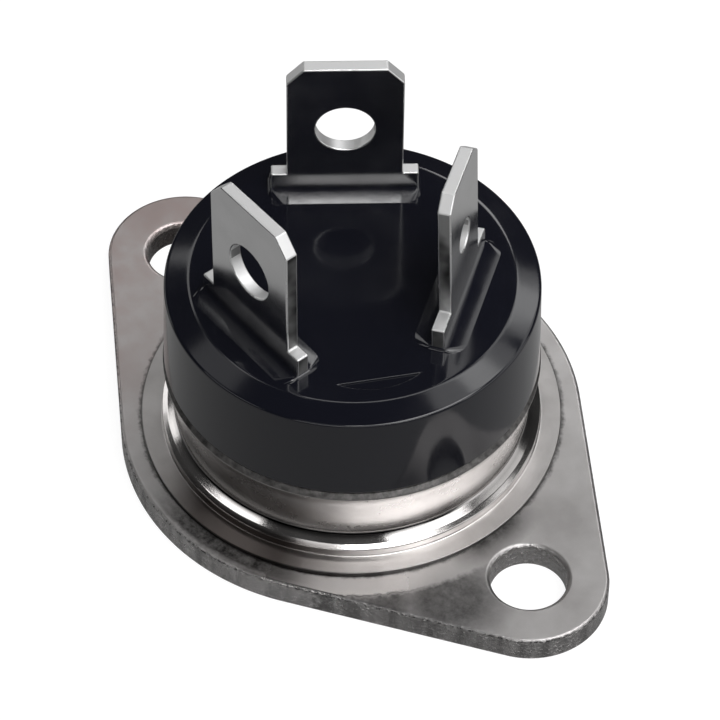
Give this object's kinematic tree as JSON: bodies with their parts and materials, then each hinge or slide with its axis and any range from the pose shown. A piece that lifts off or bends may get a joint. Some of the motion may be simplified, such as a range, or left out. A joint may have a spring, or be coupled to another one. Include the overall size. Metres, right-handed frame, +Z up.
{
  "type": "triac",
  "caption": "Flange-mount power triac: round moulded cap with blade terminals on a metal case, on an oblong mounting flange with screw holes.",
  "frame": {"origin": "centre of the flange's seating face", "axes": "+X along the flange through its two screw holes, +Z up through the cap towards the blades"},
  "size_m": [0.0388, 0.0256, 0.022],
  "materials": {
    "flange_nickel": "satin nickel plate, a little blotched",
    "case_nickel": "smooth nickel plate",
    "cap_plastic": "glossy moulded epoxy",
    "terminal_tin": "bright tin plate over brass",
    "solder": "dull solder",
    "ceramic": "matte white alumina",
    "copper": "satin copper",
    "silicon": "metallised silicon",
    "gel": "soft cured gel"
  },
  "bodies": {
    "root": {"mounting_flange": "flange_nickel", "case_ring": "case_nickel", "cap": "cap_plastic", "mt1_terminal": "terminal_tin", "mt2_terminal": "terminal_tin", "gate_terminal": "terminal_tin", "base_solder": "solder", "ceramic_disc": "ceramic", "plate_solder": "solder", "mt2_plate": "copper", "die_solder": "solder", "triac_chip": "silicon", "mt1_solder": "solder", "mt1_clip": "copper", "gate_solder": "solder", "gate_clip": "copper", "potting_gel": "gel"}
  },
  "joints": []
}
